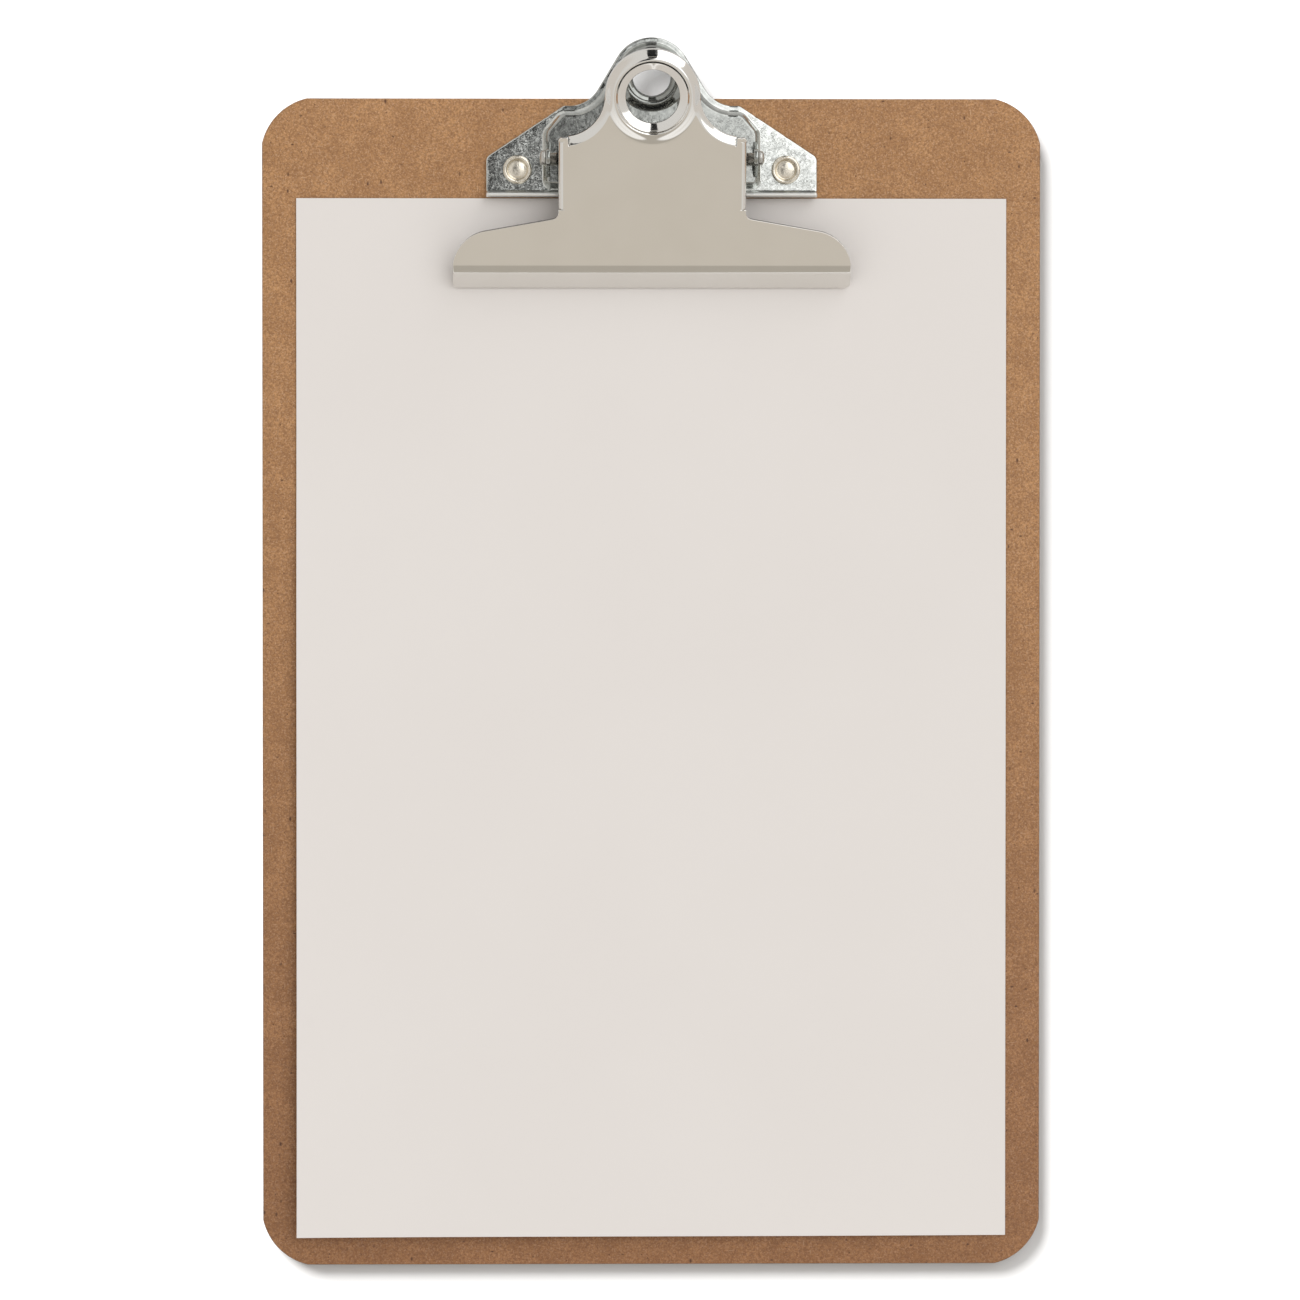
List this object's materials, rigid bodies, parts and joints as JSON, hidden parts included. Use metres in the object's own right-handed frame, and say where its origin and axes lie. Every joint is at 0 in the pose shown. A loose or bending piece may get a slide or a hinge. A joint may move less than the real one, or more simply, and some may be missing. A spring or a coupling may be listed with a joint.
{
  "type": "clipboard",
  "caption": "Memo-size hardboard clipboard with a sprung steel lever clip, a hanging ring and a few sheets of plain paper held in the jaw.",
  "frame": {"origin": "centre of the board's back face, on the plane that the clipboard lies on", "axes": "+Z out of the board's writing face, +Y along the board's length towards the clip, +X to the right when the clip is at the top"},
  "size_m": [0.1524, 0.2405, 0.0207],
  "materials": {
    "hardboard": "raw pressed fibre board with fine fibres and dark specks",
    "zinc_steel": "zinc-plated, with a fine spangle",
    "nickel_steel": "bright nickel plate",
    "pin_steel": "plain drawn steel",
    "spring_steel": "oiled spring wire",
    "rivet_steel": "nickel-plated, rolled over at the front",
    "paper": "plain uncoated paper"
  },
  "bodies": {
    "board": {"board": "hardboard", "base_plate": "zinc_steel", "pivot_pin": "pin_steel", "torsion_spring": "spring_steel", "rivet_left": "rivet_steel", "rivet_right": "rivet_steel"},
    "lever": {"lever": "nickel_steel"},
    "paper": {"paper": "paper"}
  },
  "joints": [
    {"name": "lever_hinge", "type": "hinge", "parent": "board", "child": "lever", "pos_m": [0, 0.1023, 0.0093], "axis": [-1, 0, 0], "range_deg": [0, 28], "stiffness_Nm_per_rad": 0.5, "springref_deg": -45.84, "deforming": ["torsion_spring"]},
    {"name": "paper_slide", "type": "slide", "parent": "board", "child": "paper", "axis": [0, -1, 0], "range_m": [0, 0.04]}
  ]
}
